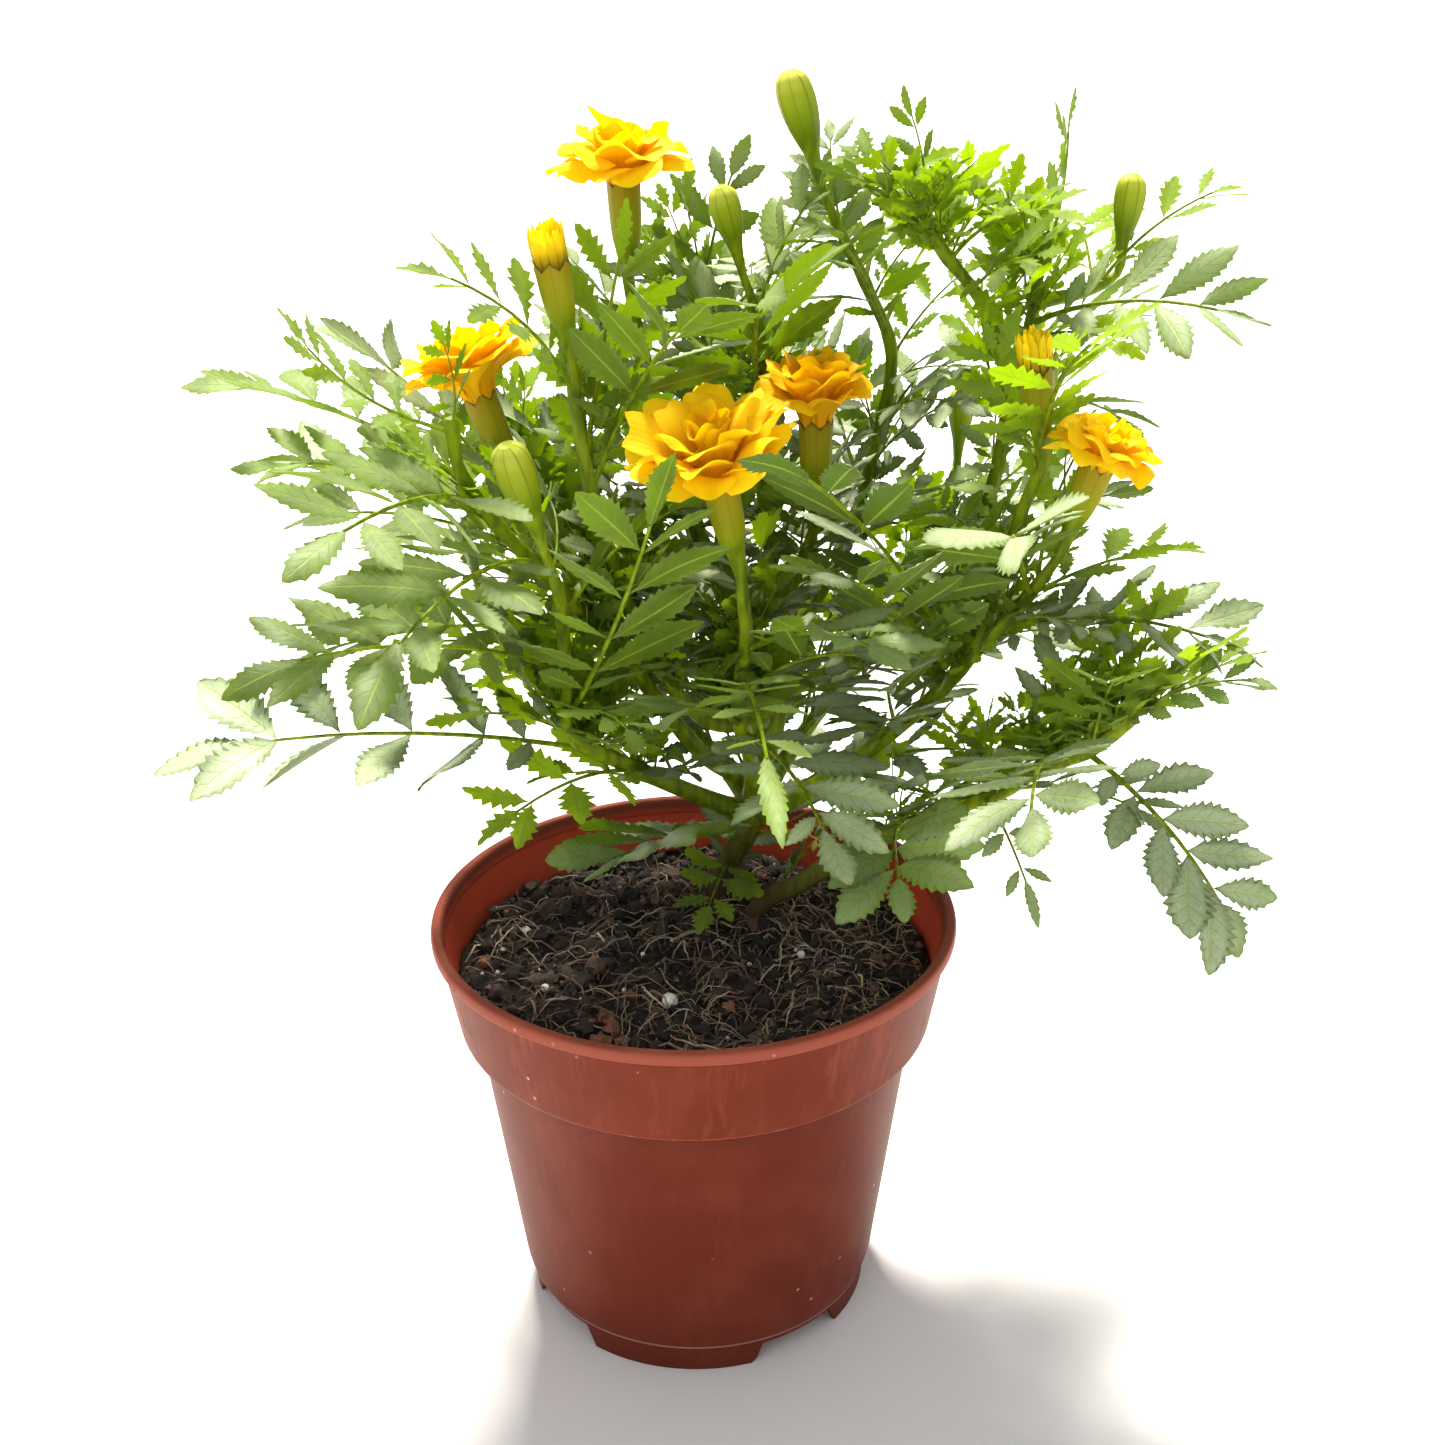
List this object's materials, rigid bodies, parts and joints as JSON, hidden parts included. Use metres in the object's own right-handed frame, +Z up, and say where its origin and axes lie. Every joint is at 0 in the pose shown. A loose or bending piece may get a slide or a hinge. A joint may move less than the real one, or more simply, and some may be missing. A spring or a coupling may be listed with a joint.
{
  "type": "potted marigold plant",
  "caption": "Bushy flowering marigold with feathery toothed leaves, orange blooms and buds, growing in a round terracotta-coloured nursery pot filled with dark soil.",
  "frame": {"origin": "centre of the pot's foot ring, on the surface it stands on", "axes": "+Z up along the pot's axis, -Y towards the front seen in the picture, +X to the right"},
  "size_m": [0.3002, 0.2471, 0.3476],
  "materials": {
    "pot": "satin terracotta-red moulded plastic with dried water streaks",
    "soil": null,
    "foliage": null,
    "petals": null,
    "yellow_petals": null,
    "withered_leaf": null
  },
  "bodies": {
    "root": {"pot": "pot", "soil": "soil", "main_stem": "foliage", "low_left_stem": "foliage", "upper_left_stem": "foliage", "rear_left_stem": "foliage", "left_centre_stem": "foliage", "centre_stem": "foliage", "front_stem": "foliage", "rear_right_stem": "foliage", "right_stem": "foliage", "upper_right_stem": "foliage", "low_right_stem": "foliage", "rear_stem": "foliage", "rear_low_right_stem": "foliage", "rear_low_left_stem": "foliage", "left_top_bloom": "petals", "left_rear_bloom": "petals", "front_bloom": "petals", "centre_bloom": "petals", "right_bloom": "petals", "left_half_open_petals": "yellow_petals", "right_half_open_petals": "yellow_petals", "yellow_leaf": "withered_leaf"}
  },
  "joints": []
}
